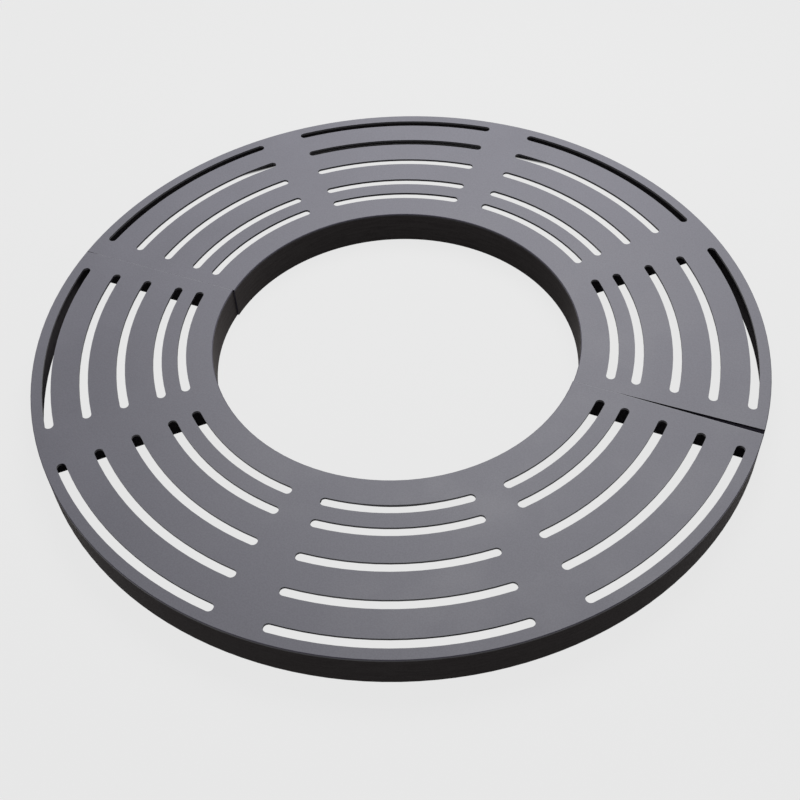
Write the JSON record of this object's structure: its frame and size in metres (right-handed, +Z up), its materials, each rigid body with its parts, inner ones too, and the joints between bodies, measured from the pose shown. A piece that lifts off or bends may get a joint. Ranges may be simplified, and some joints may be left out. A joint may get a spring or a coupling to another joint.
{
  "type": "tree grate",
  "caption": "Round steel tree grate split across its middle, with rings of curved slots, deep skirts and a central trunk opening; its halves bolt together beneath and draw apart.",
  "frame": {"origin": "centre of the trunk opening, on the ground that the skirts stand on", "axes": "+X along the joint between the halves, to the right; +Y towards the rear half; +Z up"},
  "size_m": [1.2, 1.1998, 0.06],
  "materials": {
    "coated_plate": "fine matte powder coat, slate grey",
    "coated_bar": "fine matte powder coat, slate grey",
    "zinc_fasteners": "dull zinc plating"
  },
  "bodies": {
    "rear_half": {"rear_top_plate": "coated_plate", "rear_outer_skirt": "coated_bar", "rear_inner_skirt": "coated_bar", "rear_left_end_plate": "coated_bar", "rear_right_end_plate": "coated_bar", "rear_left_rib": "coated_bar", "rear_middle_rib": "coated_bar", "rear_right_rib": "coated_bar", "weld_nuts": "zinc_fasteners"},
    "front_half": {"front_top_plate": "coated_plate", "front_outer_skirt": "coated_bar", "front_inner_skirt": "coated_bar", "front_left_end_plate": "coated_bar", "front_right_end_plate": "coated_bar", "front_left_rib": "coated_bar", "front_middle_rib": "coated_bar", "front_right_rib": "coated_bar", "joint_bolts": "zinc_fasteners", "joint_washers": "zinc_fasteners"}
  },
  "joints": [
    {"name": "halves_part", "type": "slide", "parent": "rear_half", "child": "front_half", "axis": [0, -1, 0], "range_m": [0, 0.35]}
  ]
}
